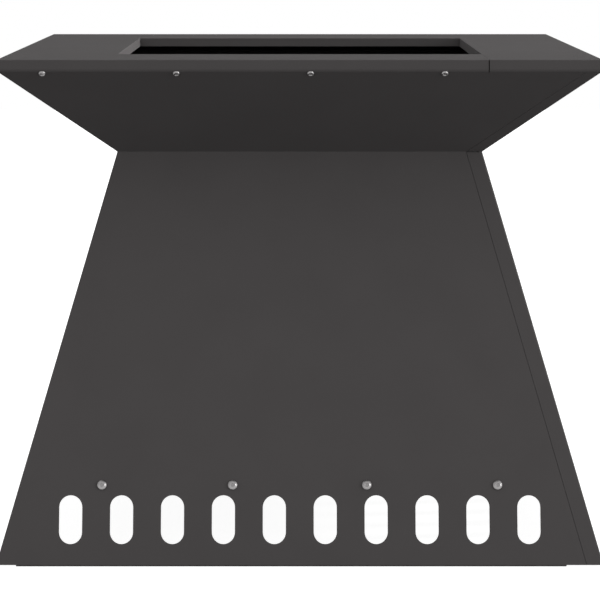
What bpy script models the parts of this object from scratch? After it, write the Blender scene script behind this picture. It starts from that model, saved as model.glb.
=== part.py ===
"""Outdoor fireplace: a square fire table of folded sheet steel.

Four equal panels make the waisted body and four equal boards make the table top. Both are laid
pinwheel fashion: each wraps round one corner onto the next side. A fire box hangs in the waist.
Metres, +Z up, the front faces -Y, origin on the floor under the middle.
"""

import math

import bmesh
import bpy
from mathutils import Matrix, Vector

SIDES = ("front", "right", "back", "left")

# Outline of the whole object
HEIGHT = 0.750
TOP_WIDTH = 0.880
BASE_WIDTH = 0.904
WAIST_WIDTH = 0.554
WAIST_HEIGHT = 0.6025
RIM_DROP = 0.016  # from the table top down to where fascia and flare would meet sharp
BOARD_WIDTH = 0.165

# Sheet steel and its folds, radii on the outside of the object
SHEET = 0.002
PANEL_BEND = 0.0025
WAIST_BEND = 0.0015
FASCIA_BEND = 0.0075
BOARD_EDGE = 0.001
BOARD_CORNER = 0.0015
BEND_STEPS = 3
TOUCH_GAP = 0.0003  # between pieces that lie on each other

# Table top boards
LIP = 0.014
BOARD_SEAM = 0.001

# Body panels
PANEL_SEAM = 0.0006
STRIP_AT_FOOT = 0.0232  # width of the corner strip, level, at three heights
STRIP_AT_WAIST = 0.0240
STRIP_AT_RIM = 0.0180
WAIST_SLIT = 0.002
FOOT_FLANGE = 0.028
RELIEF_EXTRA = 0.0025
RELIEF_RISE = 0.0007  # from the flange's upper side to the edge above the relief

# Air slots
SLOTS = 10
SLOT_WIDTH = 0.0343
SLOT_LENGTH = 0.0700
SLOT_PITCH = 0.0758
SLOT_MIDDLE = 0.0671  # height of the slots' middle
SLOT_STEPS = 6

# Button head screws, M6 at the boards and M8 at the floor plate
M6_SHANK = 0.006
M6_HEAD = 0.0105
M6_HEAD_HEIGHT = 0.0033
M6_LENGTH = 0.012
M6_SOCKET = 0.004
M6_STEPS = 8
M8_SHANK = 0.008
M8_HEAD = 0.014
M8_HEAD_HEIGHT = 0.0044
M8_LENGTH = 0.014
M8_SOCKET = 0.005
M8_STEPS = 10
HEAD_SHARES = ((0, 1), (0.6, 1), (0.92, 0.55), (1, 0))  # of the head's radius and height
SOCKET_FLOOR_SHARE = 0.4  # of the head's height
HOLE_PLAY = 0.0004  # radius of a screw hole over the screw's own
BOARD_SCREWS = 4
BOARD_SCREW_START = 0.0665  # from a board's outer corner to its first screw
BOARD_SCREW_END = 0.0635  # from its last screw to its seam
BOARD_SCREW_EDGE = 0.0012  # from the panel's top edge down the flare
PLATE_SCREW_HEIGHT = 0.117
PLATE_SCREW_INNER = 0.100
PLATE_SCREW_OUTER = 0.295

# Pressed nuts
NUT_WALL = 0.0015
NUT_DEPTH_SHARE = 0.9  # of the screw's diameter
NUT_STEPS = 8

# Rails that join boards and flare from inside
RAIL_SHEET = 0.002
RAIL_BELOW = 0.0185  # past the screws, down the flare
RAIL_MARGIN = 0.014  # past the outer screws

# Corner backing strips
BACKING_SHEET = 0.002
BACKING_UNDER = 0.016  # past the seam, behind the panel
BACKING_OVER = 0.009  # past the seam, behind the neighbour's corner strip
BACKING_FOOT = 0.003  # start above the floor
BACKING_TOP = 0.036  # end short of the sharp rim

# Ledge angles under the fire box
LEDGE_SHEET = 0.003
LEDGE_DROP = 0.006  # ledge below the waist fold
LEDGE_LEG = 0.030
LEDGE_REACH = 0.030
LEDGE_BEND = 0.005
LEDGE_CLEARANCE = 0.017  # from a ledge's end to the corner backing strip

# Fire box
BOX_SHEET = 0.003
BOX_CLEARANCE = 0.005  # wall to ledge, all round
BOX_DEPTH = 0.250
BOX_RIM_CLEARANCE = 0.005  # rim to waist, all round
BOX_BEND = 0.005
BOX_CORNER = 0.008
BOX_CORNER_STEPS = 3
BOX_HOLES = 4  # along each side of the pattern
BOX_HOLE = 0.020
BOX_HOLE_PITCH = 0.090
BOX_HOLE_STEPS = 10

# Lifting handles on the fire box rim
HANDLE_ROD = 0.008
HANDLE_WIDTH = 0.110
HANDLE_HEIGHT = 0.038
HANDLE_BEND = 0.016
HANDLE_BEND_STEPS = 4

# Fire grate
GRATE_BAR = 0.012
GRATE_BARS = 11
GRATE_CLEARANCE = 0.012  # grate to fire box wall, all round
GRATE_HEIGHT = 0.050
BEARER_WIDTH = 0.012
BEARER_INSET = 0.080
BEARER_SINK = 0.003  # how far a bearer is let into the bars

# Floor plate above the slots
PLATE_SHEET = 0.002
PLATE_RISE = 0.016  # plate above its screws
PLATE_SKIRT = 0.012  # folded edge below its screws
PLATE_BEND = 0.003
PLATE_CORNER_CLEARANCE = 0.006  # folded edge to corner backing strip
PLATE_HOLES = 4
PLATE_HOLE = 0.040
PLATE_HOLE_PITCH = 0.140
PLATE_HOLE_STEPS = 10

CUT_OVERRUN = 0.010  # how far a cutter stands out of what it cuts
MERGE = 0.000001
SMOOTH_ANGLE = math.radians(35)

TOP_HALF = TOP_WIDTH / 2
BASE_HALF = BASE_WIDTH / 2
WAIST_HALF = WAIST_WIDTH / 2
OPENING_HALF = TOP_HALF - BOARD_WIDTH
RIM_HEIGHT = HEIGHT - RIM_DROP

FOOT_POINT = Vector((BASE_HALF, 0))
WAIST_POINT = Vector((WAIST_HALF, WAIST_HEIGHT))
RIM_POINT = Vector((TOP_HALF, RIM_HEIGHT))
BODY_UP = (WAIST_POINT - FOOT_POINT).normalized()
FLARE_UP = (RIM_POINT - WAIST_POINT).normalized()
DOWN = Vector((0, -1))


# Paths: lists of points (distance from the middle of the object, height)


def left_of(direction):
    return Vector((-direction.y, direction.x))


def directions_of(corners):
    return [(after - before).normalized() for before, after in zip(corners, corners[1:])]


def turn_between(before, after):
    """Angle turned through at a corner, positive to the left."""
    return math.atan2(before.x * after.y - before.y * after.x, before.dot(after))


def moved_left(corners, distance):
    """The same path moved to its left by distance, with mitred corners."""
    directions = directions_of(corners)
    moved = []
    for k, corner in enumerate(corners):
        before = left_of(directions[max(k - 1, 0)])
        after = left_of(directions[min(k, len(directions) - 1)])
        moved.append(corner + (before + after) * (distance / (1 + before.dot(after))))
    return moved


def rounded(corners, radii, steps=BEND_STEPS):
    """The path with each inner corner turned into an arc of its radius."""
    directions = directions_of(corners)
    path = [corners[0]]
    for k, radius in enumerate(radii):
        before, after = directions[k], directions[k + 1]
        turn = turn_between(before, after)
        start = corners[k + 1] - before * radius * math.tan(abs(turn) / 2)
        centre = start + left_of(before) * math.copysign(radius, turn)
        for step in range(steps + 1):
            path.append(centre + Matrix.Rotation(turn * step / steps, 2) @ (start - centre))
    path.append(corners[-1])
    return path


def folded_sheet(corners, radii, thickness):
    """Outer and inner path of a folded sheet that lies to the left of the outer one, or to the
    right where the thickness is negative."""
    directions = directions_of(corners)
    inner_radii = []
    for k, radius in enumerate(radii):
        turn = turn_between(directions[k], directions[k + 1])
        if turn * thickness > 0:
            inner_radii.append(max(radius - abs(thickness), 0))
        else:
            inner_radii.append(radius + abs(thickness))
    return rounded(corners, radii), rounded(moved_left(corners, thickness), inner_radii)


def down_flare(distance):
    """Point on the flare's outside, this far down from the sharp rim."""
    return RIM_POINT - FLARE_UP * distance


def fascia_bend_run():
    """How far the bend below the fascia reaches down the flare."""
    return FASCIA_BEND * math.tan(abs(turn_between(DOWN, -FLARE_UP)) / 2)


def panel_top():
    """How far down the flare the panel ends, under the board's bend."""
    return fascia_bend_run() + 2 * TOUCH_GAP


def screw_back():
    """How far down the flare the board screws sit."""
    return panel_top() + BOARD_SCREW_EDGE


def body_half_width(height, depth=0.0):
    """Half width of the lower body at a height, on a surface this deep inside it."""
    slope = -BODY_UP.x / BODY_UP.y
    return BASE_HALF - slope * height - depth / BODY_UP.y


def strip_width(height):
    """Level width of the corner strip at a height."""
    if height < WAIST_HEIGHT:
        share = height / WAIST_HEIGHT
        return STRIP_AT_FOOT + (STRIP_AT_WAIST - STRIP_AT_FOOT) * share
    share = (height - WAIST_HEIGHT) / (RIM_HEIGHT - WAIST_HEIGHT)
    return STRIP_AT_WAIST + (STRIP_AT_RIM - STRIP_AT_WAIST) * share


# Meshes and objects


def new_collection(name):
    collection = bpy.data.collections.new(name)
    bpy.context.scene.collection.children.link(collection)
    return collection


def new_material(name, colour, metallic, roughness):
    material = bpy.data.materials.new(name)
    material.use_nodes = True
    shader = material.node_tree.nodes["Principled BSDF"]
    shader.inputs["Base Color"].default_value = (*colour, 1)
    shader.inputs["Metallic"].default_value = metallic
    shader.inputs["Roughness"].default_value = roughness
    material.diffuse_color = (*colour, 1)
    return material


def mesh_from(shape, name):
    """Closes a bmesh's seams, turns its faces outwards and makes it a mesh."""
    bmesh.ops.remove_doubles(shape, verts=shape.verts, dist=MERGE)
    bmesh.ops.dissolve_degenerate(shape, edges=shape.edges, dist=MERGE)
    bmesh.ops.recalc_face_normals(shape, faces=shape.faces)
    mesh = bpy.data.meshes.new(name)
    shape.to_mesh(mesh)
    shape.free()
    return mesh


def sheet_mesh(name, outer, inner, ring=False, floor=False):
    """Closed sheet between two grids of points, given as rows. A ring joins the last column to
    the first, and a floor fills both skins at the last row."""
    shape = bmesh.new()
    out = [[shape.verts.new(point) for point in row] for row in outer]
    into = [[shape.verts.new(point) for point in row] for row in inner]
    columns = len(outer[0])
    pairs = [(c, (c + 1) % columns) for c in range(columns if ring else columns - 1)]
    for r in range(len(outer) - 1):
        for a, b in pairs:
            shape.faces.new((out[r][a], out[r][b], out[r + 1][b], out[r + 1][a]))
            shape.faces.new((into[r][a], into[r + 1][a], into[r + 1][b], into[r][b]))
        if not ring:
            shape.faces.new((out[r][0], out[r + 1][0], into[r + 1][0], into[r][0]))
            shape.faces.new((out[r][-1], into[r][-1], into[r + 1][-1], out[r + 1][-1]))
    for a, b in pairs:
        shape.faces.new((out[0][b], out[0][a], into[0][a], into[0][b]))
        if not floor:
            shape.faces.new((out[-1][a], out[-1][b], into[-1][b], into[-1][a]))
    if floor:
        shape.faces.new(out[-1])
        shape.faces.new(reversed(into[-1]))
    return mesh_from(shape, name)


def corner_row(point, end_y, end_x, radius):
    """Points at one height: from end_y on the left side, round the corner, to end_x in front."""
    half, height = point
    radius = min(radius, half + end_y)
    row = [(-half, end_y, height)]
    for step in range(BEND_STEPS + 1):
        angle = math.pi + math.pi / 2 * step / BEND_STEPS
        x = -half + radius + radius * math.cos(angle)
        y = -half + radius + radius * math.sin(angle)
        row.append((x, y, height))
    row.append((end_x, -half, height))
    return row


def cornered_mesh(name, paths, ends, radius):
    """Folded sheet that runs along the front and wraps round the front left corner."""
    outer, inner = paths
    inner_radius = max(radius - SHEET, 0)
    outer_rows = [corner_row(point, *ends(point), radius) for point in outer]
    inner_rows = [
        corner_row(point, *ends(beside), inner_radius) for point, beside in zip(inner, outer)
    ]
    return sheet_mesh(name, outer_rows, inner_rows)


def straight_mesh(name, paths, ends):
    """Folded sheet along the front, whose ends(k) are the x of both ends at point k of the path."""
    grids = []
    for path in paths:
        grids.append([[(x, -half, height) for x in ends(k)] for k, (half, height) in enumerate(path)])
    return sheet_mesh(name, *grids)


def square_row(point, radius):
    """Closed row round a square with rounded corners, at one height."""
    half, height = point
    row = []
    for side in range(4):
        for step in range(BOX_CORNER_STEPS + 1):
            angle = math.pi / 2 * (side + step / BOX_CORNER_STEPS)
            centre = Matrix.Rotation(math.pi / 2 * side, 2) @ Vector((half - radius, half - radius))
            x = centre.x + radius * math.cos(angle)
            y = centre.y + radius * math.sin(angle)
            row.append((x, y, height))
    return row


def add_object(name, mesh, collection, material=None, parent=None):
    piece = bpy.data.objects.new(name, mesh)
    collection.objects.link(piece)
    if material and not mesh.materials:
        mesh.materials.append(material)
    piece.parent = parent
    return piece


def new_cutters(name):
    """Collection of cutters for one piece."""
    group = bpy.data.collections.new(name)
    cutters.children.link(group)
    return group


def add_cutter(name, shape, group):
    piece = add_object(name, mesh_from(shape, name), group)
    piece.hide_render = True
    piece.display_type = "WIRE"
    return piece


def add_box_cutter(name, group, low, high):
    shape = bmesh.new()
    bmesh.ops.create_cube(shape, size=1)
    low, high = Vector(low), Vector(high)
    place = Matrix.Translation((low + high) / 2) @ Matrix.Diagonal((*(high - low), 1))
    bmesh.ops.transform(shape, matrix=place, verts=shape.verts)
    return add_cutter(name, shape, group)


def add_round_cutter(name, group, frame, radius, low, high, steps):
    """Cylinder along a frame's own Z, from low to high on it."""
    shape = bmesh.new()
    place = frame @ Matrix.Translation((0, 0, (low + high) / 2))
    bmesh.ops.create_cone(
        shape,
        cap_ends=True,
        segments=steps,
        radius1=radius,
        radius2=radius,
        depth=high - low,
        matrix=place,
    )
    return add_cutter(name, shape, group)


def clear_of(radius, steps):
    """Corner radius of the polygon whose flats keep clear of a circle."""
    return radius / math.cos(math.pi / steps)


def combine(piece, group, operation):
    modifier = piece.modifiers.new(group.name, "BOOLEAN")
    modifier.operation = operation
    modifier.operand_type = "COLLECTION"
    modifier.collection = group


def finished_mesh(piece):
    """The piece's mesh with its modifiers applied, for its copies to share."""
    seen = piece.evaluated_get(bpy.context.evaluated_depsgraph_get())
    mesh = bpy.data.meshes.new_from_object(seen)
    mesh.name = piece.name
    piece.modifiers.clear()
    piece.data = mesh
    shade(mesh)
    return mesh


def shade(mesh):
    mesh.shade_smooth()
    mesh.set_sharp_from_angle(angle=SMOOTH_ANGLE)


def add_on_sides(name, mesh, material):
    """One copy of a front piece on each side, named after its side."""
    for side in SIDES:
        add_object(f"{side}_{name}", mesh, fireplace, material, side_empties[side])


# Screw places, as frames on the front side whose Z points out of the sheet


def frame_on_front(x, point, out):
    place = Matrix.Translation((x, -point.x, point.y))
    turn = Vector((0, -out.x, out.y)).to_track_quat("Z", "X").to_matrix().to_4x4()
    return place @ turn


def board_screw_frames():
    start = -TOP_HALF + BOARD_SCREW_START
    end = OPENING_HALF - BOARD_SEAM - BOARD_SCREW_END
    pitch = (end - start) / (BOARD_SCREWS - 1)
    point = down_flare(screw_back())
    places = [start + pitch * k for k in range(BOARD_SCREWS)]
    return [frame_on_front(x, point, -left_of(FLARE_UP)) for x in places]


def plate_screw_frames():
    point = Vector((body_half_width(PLATE_SCREW_HEIGHT), PLATE_SCREW_HEIGHT))
    places = (-PLATE_SCREW_OUTER, -PLATE_SCREW_INNER, PLATE_SCREW_INNER, PLATE_SCREW_OUTER)
    return [frame_on_front(x, point, -left_of(BODY_UP)) for x in places]


# Pieces


def add_shank_cutters(group, frames, shank, steps):
    """Clearance holes for screws through a sheet at the outside of the object."""
    radius = clear_of(shank / 2 + HOLE_PLAY, steps)
    for k, frame in enumerate(frames):
        low, high = -SHEET - CUT_OVERRUN / 2, CUT_OVERRUN / 2
        add_round_cutter(f"hole_{k + 1}", group, frame, radius, low, high, steps)


def make_board():
    """Folded tray: lip at the opening, top, fascia and the bend towards the flare, whose edge is
    notched for the screws that hold it and the panel's top edge to the rail."""
    corners = [
        Vector((OPENING_HALF, HEIGHT - LIP)),
        Vector((OPENING_HALF, HEIGHT)),
        Vector((TOP_HALF, HEIGHT)),
        RIM_POINT,
        down_flare(fascia_bend_run() + TOUCH_GAP),
    ]
    paths = folded_sheet(corners, (BOARD_EDGE, BOARD_EDGE, FASCIA_BEND), -SHEET)
    ends = (-OPENING_HALF, OPENING_HALF - BOARD_SEAM)
    mesh = cornered_mesh("board", paths, lambda point: ends, BOARD_CORNER)
    board = add_object("board", mesh, fireplace)
    group = new_cutters("board_cutters")
    add_shank_cutters(group, board_screw_frames(), M6_SHANK, M6_STEPS)
    combine(board, group, "DIFFERENCE")
    mesh = finished_mesh(board)
    bpy.data.objects.remove(board)
    return mesh


def panel_corners():
    return [
        FOOT_POINT - Vector((FOOT_FLANGE, 0)),
        FOOT_POINT,
        WAIST_POINT,
        down_flare(panel_top()),
    ]


def panel_ends(point):
    """Where the panel ends at a point of its path: on the left side, and at the seam in front."""
    half, height = point
    edge = max(half, body_half_width(height))
    return max(strip_width(height) - edge, -half), edge - strip_width(height) - PANEL_SEAM


def slot_shape(x):
    """Prism through the front with a round-ended outline, upright as the slots are seen."""
    shape = bmesh.new()
    radius = SLOT_WIDTH / 2
    rise = SLOT_LENGTH / 2 - radius
    outline = []
    for side in (1, -1):
        for step in range(SLOT_STEPS + 1):
            angle = math.pi * step / SLOT_STEPS
            across = side * radius * math.cos(angle)
            up = SLOT_MIDDLE + side * (rise + radius * math.sin(angle))
            outline.append((x + across, -BASE_HALF - CUT_OVERRUN, up))
    face = shape.faces.new([shape.verts.new(point) for point in outline])
    depth = BASE_HALF - body_half_width(SLOT_MIDDLE + SLOT_LENGTH, SHEET) + 2 * CUT_OVERRUN
    grown = bmesh.ops.extrude_face_region(shape, geom=[face])["geom"]
    moved = [item for item in grown if isinstance(item, bmesh.types.BMVert)]
    bmesh.ops.translate(shape, vec=(0, depth, 0), verts=moved)
    return shape


def make_panel():
    """One side of the body: foot flange, tapering face with air slots, waist fold and flare."""
    paths = folded_sheet(panel_corners(), (PANEL_BEND, WAIST_BEND), SHEET)
    panel = add_object("panel", cornered_mesh("panel", paths, panel_ends, PANEL_BEND), fireplace)
    group = new_cutters("panel_cutters")

    for k in range(SLOTS):
        x = SLOT_PITCH * (k - (SLOTS - 1) / 2)
        add_cutter(f"slot_{k + 1}", slot_shape(x), group)

    add_shank_cutters(group, board_screw_frames(), M6_SHANK, M6_STEPS)
    add_shank_cutters(group, plate_screw_frames(), M8_SHANK, M8_STEPS)

    relief_top = SHEET + RELIEF_RISE
    relief = FOOT_FLANGE + RELIEF_EXTRA
    outside, flange_end = -BASE_HALF - CUT_OVERRUN, -BASE_HALF + relief
    seam = BASE_HALF - STRIP_AT_FOOT - PANEL_SEAM
    low, high = (outside, outside, -CUT_OVERRUN), (flange_end, flange_end, relief_top)
    add_box_cutter("left_relief", group, low, high)
    low, high = (seam - relief, outside, -CUT_OVERRUN), (-outside, flange_end, relief_top)
    add_box_cutter("right_relief", group, low, high)

    strip = strip_width(WAIST_HEIGHT)
    low = (-WAIST_HALF - CUT_OVERRUN, -WAIST_HALF + 2 * PANEL_BEND, WAIST_HEIGHT - WAIST_SLIT / 2)
    high = (-WAIST_HALF + CUT_OVERRUN, -WAIST_HALF + strip + CUT_OVERRUN, low[2] + WAIST_SLIT)
    add_box_cutter("waist_slit", group, low, high)

    combine(panel, group, "DIFFERENCE")
    mesh = finished_mesh(panel)
    bpy.data.objects.remove(panel)
    return mesh


def make_screw(name, shank, head, head_height, length, socket, steps):
    """Button head screw along Z, its head resting on Z = TOUCH_GAP, with a hexagon socket."""
    profile = [(head / 2 * across, head_height * up) for across, up in HEAD_SHARES]
    profile += [(shank / 2, 0), (shank / 2, -length), (0, -length)]
    shape = bmesh.new()
    points = [shape.verts.new((x, 0, z + TOUCH_GAP)) for x, z in profile]
    for before, after in zip(points, points[1:]):
        shape.edges.new((before, after))
    line = bpy.data.meshes.new(name)
    shape.to_mesh(line)
    shape.free()
    screw = add_object(name, line, fireplace)
    turned = screw.modifiers.new("turned", "SCREW")
    turned.steps = turned.render_steps = steps
    turned.use_merge_vertices = True
    turned.merge_threshold = MERGE
    turned.use_smooth_shade = False
    group = new_cutters(f"{name}_socket")
    top, floor = head_height + TOUCH_GAP, head_height * SOCKET_FLOOR_SHARE
    corner = clear_of(socket / 2, 6)
    add_round_cutter(f"{name}_hexagon", group, Matrix(), corner, floor, top + CUT_OVERRUN, 6)
    combine(screw, group, "DIFFERENCE")
    mesh = finished_mesh(screw)
    bpy.data.objects.remove(screw)
    return mesh


def add_screws(name, mesh, frames):
    for side in SIDES:
        for k, frame in enumerate(frames):
            piece = add_object(
                f"{side}_{name}_{k + 1}", mesh, fireplace, stainless, side_empties[side]
            )
            piece.matrix_local = frame


def add_nuts(piece, name, frames, shank, sheet):
    """Presses nuts into the back of a sheet that lies SHEET and a gap inside the panel."""
    bore = clear_of(shank / 2 + TOUCH_GAP, NUT_STEPS)
    back = -SHEET - TOUCH_GAP - sheet
    nuts, bores = new_cutters(f"{name}_nuts"), new_cutters(f"{name}_bores")
    for k, frame in enumerate(frames):
        low, high = back - shank * NUT_DEPTH_SHARE, back + sheet / 4
        add_round_cutter(f"{name}_nut_{k + 1}", nuts, frame, bore + NUT_WALL, low, high, NUT_STEPS)
        low, high = low - CUT_OVERRUN, CUT_OVERRUN
        add_round_cutter(f"{name}_bore_{k + 1}", bores, frame, bore, low, high, NUT_STEPS)
    combine(piece, nuts, "UNION")
    combine(piece, bores, "DIFFERENCE")


def make_rail():
    """Folded strip behind fascia and flare, welded to the board, with a nut for each screw."""
    corners = [
        Vector((TOP_HALF, HEIGHT - SHEET - TOUCH_GAP)),
        RIM_POINT,
        down_flare(screw_back() + RAIL_BELOW),
    ]
    inside = moved_left(corners, -SHEET - TOUCH_GAP)
    paths = folded_sheet(inside, (max(FASCIA_BEND - SHEET - TOUCH_GAP, 0),), -RAIL_SHEET)
    frames = board_screw_frames()
    ends = (frames[0].translation.x - RAIL_MARGIN, frames[-1].translation.x + RAIL_MARGIN)
    rail = add_object("rail", straight_mesh("rail", paths, lambda k: ends), fireplace)
    add_nuts(rail, "rail", frames, M6_SHANK, RAIL_SHEET)
    mesh = finished_mesh(rail)
    bpy.data.objects.remove(rail)
    return mesh


def backing_edge(half, height):
    """Inner edge of a corner backing strip where the body's outside is this far out."""
    return half - strip_width(height) - PANEL_SEAM - BACKING_UNDER


def make_backing():
    """Strip welded behind the seam at the front right corner, over body and flare."""
    start = FOOT_POINT + BODY_UP * (BACKING_FOOT / BODY_UP.y)
    corners = [start, WAIST_POINT, down_flare(BACKING_TOP)]
    outside = rounded(corners, (WAIST_BEND,))
    inside = moved_left(corners, SHEET + TOUCH_GAP)
    paths = folded_sheet(inside, (WAIST_BEND + SHEET + TOUCH_GAP,), BACKING_SHEET)

    def ends(k):
        half, height = outside[k]
        return backing_edge(half, height), half - strip_width(height) + BACKING_OVER

    mesh = straight_mesh("backing", paths, ends)
    shade(mesh)
    return mesh


def ledge_corners():
    top = WAIST_HEIGHT - LEDGE_DROP
    wall = SHEET + TOUCH_GAP
    knee = Vector((body_half_width(top, wall), top))
    foot = Vector((body_half_width(top - LEDGE_LEG, wall), top - LEDGE_LEG))
    return [foot, knee, knee - Vector((LEDGE_REACH, 0))]


def make_ledge():
    """Angle welded inside the body, whose level leg carries the fire box rim."""
    paths = folded_sheet(ledge_corners(), (LEDGE_BEND,), LEDGE_SHEET)
    top = ledge_corners()[-1].y
    reach = backing_edge(body_half_width(top), top) - LEDGE_CLEARANCE
    mesh = straight_mesh("ledge", paths, lambda k: (-reach, reach))
    shade(mesh)
    return mesh


def box_corners():
    """Path along the underside of rim, wall and floor of the fire box."""
    ledge = ledge_corners()
    wall = ledge[-1].x - BOX_CLEARANCE
    rim = body_half_width(WAIST_HEIGHT, SHEET) - BOX_RIM_CLEARANCE
    under = ledge[-1].y + TOUCH_GAP
    low = under - BOX_DEPTH
    return [Vector((rim, under)), Vector((wall, under)), Vector((wall, low)), Vector((wall / 2, low))]


def make_fire_box():
    """Tub with a hanging rim and an air hole pattern in its floor."""
    outer, inner = folded_sheet(box_corners(), (BOX_BEND, BOX_BEND), -BOX_SHEET)
    outer_rows = [square_row(point, BOX_CORNER) for point in outer]
    inner_rows = [square_row(point, max(BOX_CORNER - BOX_SHEET, 0)) for point in inner]
    mesh = sheet_mesh("fire_box", outer_rows, inner_rows, ring=True, floor=True)
    box = add_object("fire_box", mesh, fireplace, fire_steel)
    low = box_corners()[-1].y
    add_hole_grid(box, low, BOX_SHEET, BOX_HOLES, BOX_HOLE, BOX_HOLE_PITCH, BOX_HOLE_STEPS)
    finished_mesh(box)


def add_hole_grid(piece, low, sheet, count, diameter, pitch, steps):
    """Square pattern of round holes through a level sheet."""
    group = new_cutters(f"{piece.name}_holes")
    for i in range(count):
        for j in range(count):
            x, y = (pitch * (n - (count - 1) / 2) for n in (i, j))
            frame = Matrix.Translation((x, y, low))
            name = f"{piece.name}_hole_{i + 1}_{j + 1}"
            low_end, high_end = -CUT_OVERRUN / 2, sheet + CUT_OVERRUN / 2
            add_round_cutter(name, group, frame, diameter / 2, low_end, high_end, steps)
    combine(piece, group, "DIFFERENCE")


def add_handle(name, side):
    """Bent rod standing on the fire box rim at the left (-1) or the right (1)."""
    rim, wall = box_corners()[:2]
    x = side * (rim.x + wall.x) / 2
    foot = rim.y + BOX_SHEET + TOUCH_GAP
    reach = (HANDLE_WIDTH - HANDLE_ROD) / 2
    top = foot + HANDLE_HEIGHT - HANDLE_ROD / 2
    corners = [
        Vector((-reach, foot)),
        Vector((-reach, top)),
        Vector((reach, top)),
        Vector((reach, foot)),
    ]
    path = rounded(corners, (HANDLE_BEND, HANDLE_BEND), HANDLE_BEND_STEPS)
    curve = bpy.data.curves.new(name, "CURVE")
    curve.dimensions = "3D"
    curve.bevel_depth = HANDLE_ROD / 2
    curve.bevel_resolution = 2
    curve.use_fill_caps = True
    spline = curve.splines.new("POLY")
    spline.points.add(len(path) - 1)
    for point, (y, z) in zip(spline.points, path):
        point.co = (x, y, z, 1)
    handle = bpy.data.objects.new(name, curve)
    fireplace.objects.link(handle)
    curve.materials.append(fire_steel)


def add_grate():
    """Square bars across two bearers that stand on the fire box floor."""
    wall, low = box_corners()[2]
    half = wall - BOX_SHEET - GRATE_CLEARANCE
    floor = low + BOX_SHEET + TOUCH_GAP
    top = floor + GRATE_HEIGHT
    under = top - GRATE_BAR
    shape = bmesh.new()
    bmesh.ops.create_cube(shape, size=1)
    size = (2 * half, BEARER_WIDTH, under + BEARER_SINK - floor)
    middle = (0, half - BEARER_INSET, (under + BEARER_SINK + floor) / 2)
    place = Matrix.Translation(middle) @ Matrix.Diagonal((*size, 1))
    bmesh.ops.transform(shape, matrix=place, verts=shape.verts)
    grate = add_object("fire_grate", mesh_from(shape, "fire_grate"), fireplace, grate_iron)

    joined = new_cutters("grate_bars")
    near, far = -half + BEARER_INSET - BEARER_WIDTH / 2, -half + BEARER_INSET + BEARER_WIDTH / 2
    add_box_cutter("near_bearer", joined, (-half, near, floor), (half, far, under + BEARER_SINK))
    gap = (2 * half - GRATE_BAR) / (GRATE_BARS - 1)
    for k in range(GRATE_BARS):
        x = -half + gap * k
        add_box_cutter(f"bar_{k + 1}", joined, (x, -half, under), (x + GRATE_BAR, half, top))
    combine(grate, joined, "UNION")
    finished_mesh(grate)


def add_floor_plate():
    """Plate above the slots, its four edges folded down along the body and held by the screws."""
    top = PLATE_SCREW_HEIGHT + PLATE_RISE
    low = PLATE_SCREW_HEIGHT - PLATE_SKIRT
    edge = body_half_width(top, SHEET + TOUCH_GAP)
    hem = body_half_width(low, SHEET + TOUCH_GAP)
    reach = backing_edge(body_half_width(top), top) - PLATE_CORNER_CLEARANCE
    shape = bmesh.new()
    outline = []
    for side in range(4):
        turn = Matrix.Rotation(math.pi / 2 * side, 3, "Z")
        inner, left, right = (
            shape.verts.new(turn @ Vector(point))
            for point in ((-reach, -reach, top), (-reach, -edge, top), (reach, -edge, top))
        )
        below = [shape.verts.new(turn @ Vector((x, -hem, low))) for x in (reach, -reach)]
        shape.faces.new((right, left, below[1], below[0]))
        outline += [inner, left, right]
    shape.faces.new(outline)
    bmesh.ops.recalc_face_normals(shape, faces=shape.faces)
    if sum(face.normal.z for face in shape.faces) < 0:
        bmesh.ops.reverse_faces(shape, faces=shape.faces)
    mesh = bpy.data.meshes.new("floor_plate")
    shape.to_mesh(mesh)
    shape.free()
    plate = add_object("floor_plate", mesh, fireplace, powder_coat)
    folds = plate.modifiers.new("folds", "BEVEL")
    folds.width = PLATE_BEND
    folds.segments = BEND_STEPS
    walls = plate.modifiers.new("walls", "SOLIDIFY")
    walls.thickness = PLATE_SHEET
    walls.use_even_offset = True
    frames = []
    for side in range(4):
        turn = Matrix.Rotation(math.pi / 2 * side, 4, "Z")
        frames += [turn @ frame for frame in plate_screw_frames()]
    add_nuts(plate, "floor_plate", frames, M8_SHANK, PLATE_SHEET)
    under = top - PLATE_SHEET
    add_hole_grid(
        plate, under, PLATE_SHEET, PLATE_HOLES, PLATE_HOLE, PLATE_HOLE_PITCH, PLATE_HOLE_STEPS
    )
    finished_mesh(plate)


for old in list(bpy.data.objects):
    bpy.data.objects.remove(old)
fireplace = new_collection("outdoor_fireplace")
cutters = new_collection("cutters")
cutters.hide_render = True

powder_coat = new_material("powder_coat", (0.045, 0.041, 0.042), 0.0, 0.55)
stainless = new_material("stainless_steel", (0.62, 0.62, 0.62), 1.0, 0.3)
fire_steel = new_material("fire_steel", (0.02, 0.019, 0.018), 0.6, 0.7)
grate_iron = new_material("grate_iron", (0.025, 0.023, 0.022), 0.7, 0.75)

side_empties = {}
for number, side_name in enumerate(SIDES):
    empty = bpy.data.objects.new(f"{side_name}_side", None)
    empty.rotation_euler.z = math.pi / 2 * number
    fireplace.objects.link(empty)
    side_empties[side_name] = empty

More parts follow.
